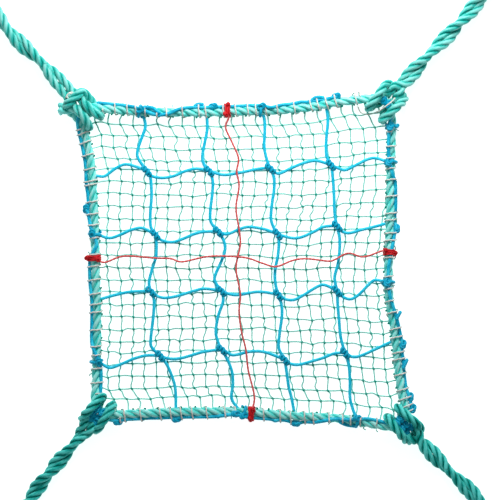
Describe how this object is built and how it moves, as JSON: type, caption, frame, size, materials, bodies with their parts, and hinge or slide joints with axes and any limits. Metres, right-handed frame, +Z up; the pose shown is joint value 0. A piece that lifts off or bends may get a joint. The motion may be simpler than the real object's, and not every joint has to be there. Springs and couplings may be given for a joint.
{
  "type": "knotted rope safety net",
  "caption": "Square knotted rope net: a coarse cord mesh over a fine mesh inside a stranded border rope, with marker cords across it and a doubled, twisted tie rope hitched to each corner.",
  "frame": {"origin": "bottom centre of the net with its four corner hitches, lying flat on the floor", "axes": "+Z up out of the net's plane, +Y towards its top edge as it is seen from above, +X towards its right edge"},
  "size_m": [0.8384, 0.8763, 0.0426],
  "materials": {
    "turquoise_rope": "three-strand twisted polypropylene rope, slightly glossy",
    "blue_cord": "braided polyethylene cord, satin",
    "lashing_twine": "off-white twine, matt",
    "green_twine": "fine twisted polyethylene twine, satin",
    "red_cord": "thin twisted cord, satin"
  },
  "bodies": {
    "net": {"border_rope_top": "turquoise_rope", "border_rope_right": "turquoise_rope", "border_rope_bottom": "turquoise_rope", "border_rope_left": "turquoise_rope", "border_rope_tail": "turquoise_rope", "edge_cord_top": "blue_cord", "edge_cord_right": "blue_cord", "edge_cord_bottom": "blue_cord", "edge_cord_left": "blue_cord", "lashing_top": "lashing_twine", "lashing_right": "lashing_twine", "lashing_bottom": "lashing_twine", "lashing_left": "lashing_twine", "mesh_row_1": "blue_cord", "mesh_row_2": "blue_cord", "mesh_row_3": "blue_cord", "mesh_row_4": "blue_cord", "mesh_column_1": "blue_cord", "mesh_column_2": "blue_cord", "mesh_column_3": "blue_cord", "mesh_column_4": "blue_cord", "mesh_knots": "blue_cord", "edge_knots": "blue_cord", "fine_rows": "green_twine", "fine_columns": "green_twine", "fine_knots": "green_twine", "marker_row": "red_cord", "marker_column": "red_cord", "marker_knots": "red_cord", "tie_hitch_top_left": "turquoise_rope", "tie_hitch_top_right": "turquoise_rope", "tie_hitch_bottom_right": "turquoise_rope", "tie_hitch_bottom_left": "turquoise_rope"},
    "tie_top_left": {"tie_leg_low_top_left": "turquoise_rope", "tie_leg_high_top_left": "turquoise_rope"},
    "tie_top_right": {"tie_leg_low_top_right": "turquoise_rope", "tie_leg_high_top_right": "turquoise_rope"},
    "tie_bottom_right": {"tie_leg_low_bottom_right": "turquoise_rope", "tie_leg_high_bottom_right": "turquoise_rope"},
    "tie_bottom_left": {"tie_leg_low_bottom_left": "turquoise_rope", "tie_leg_high_bottom_left": "turquoise_rope"}
  },
  "joints": [
    {"name": "tie_top_left_swing", "type": "hinge", "parent": "net", "child": "tie_top_left", "pos_m": [-0.33161, 0.32898, 0.0149], "axis": [0, 0, 1], "range_deg": [-60, 60]},
    {"name": "tie_top_right_swing", "type": "hinge", "parent": "net", "child": "tie_top_right", "pos_m": [0.30059, 0.33879, 0.0149], "axis": [0, 0, 1], "range_deg": [-60, 60]},
    {"name": "tie_bottom_right_swing", "type": "hinge", "parent": "net", "child": "tie_bottom_right", "pos_m": [0.3365, -0.34129, 0.0149], "axis": [0, 0, 1], "range_deg": [-60, 60]},
    {"name": "tie_bottom_left_swing", "type": "hinge", "parent": "net", "child": "tie_bottom_left", "pos_m": [-0.27833, -0.29674, 0.0149], "axis": [0, 0, 1], "range_deg": [-60, 60]}
  ]
}
